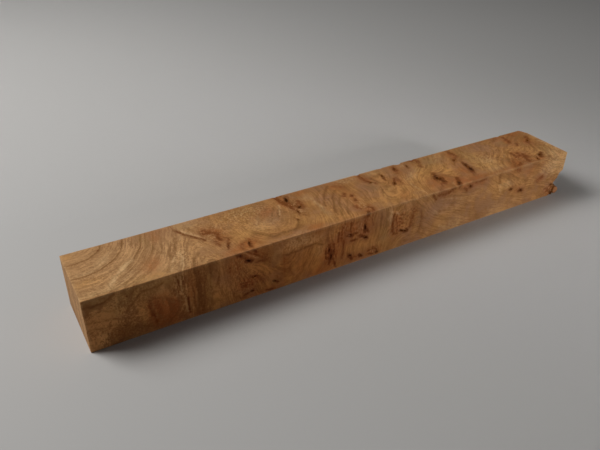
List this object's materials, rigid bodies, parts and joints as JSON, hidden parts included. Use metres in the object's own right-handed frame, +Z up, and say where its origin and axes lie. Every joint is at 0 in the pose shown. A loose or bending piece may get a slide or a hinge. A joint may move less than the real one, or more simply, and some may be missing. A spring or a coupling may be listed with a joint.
{
  "type": "elm burl block",
  "caption": "Long square-sawn blank of elm burl with bud pits in every face, a bark void with a rounded nub at one corner and a small wane on the next edge.",
  "frame": {"origin": "middle of the flat underside", "axes": "+X along the bar towards the end with the bark void, -Y out of the front face, +Z up through the thickness"},
  "size_m": [0.311, 0.04, 0.03],
  "materials": {
    "elm_burl": "sawn and lightly sanded, unfinished wood, matte"
  },
  "bodies": {
    "root": {"elm_burl_block": "elm_burl"}
  },
  "joints": []
}
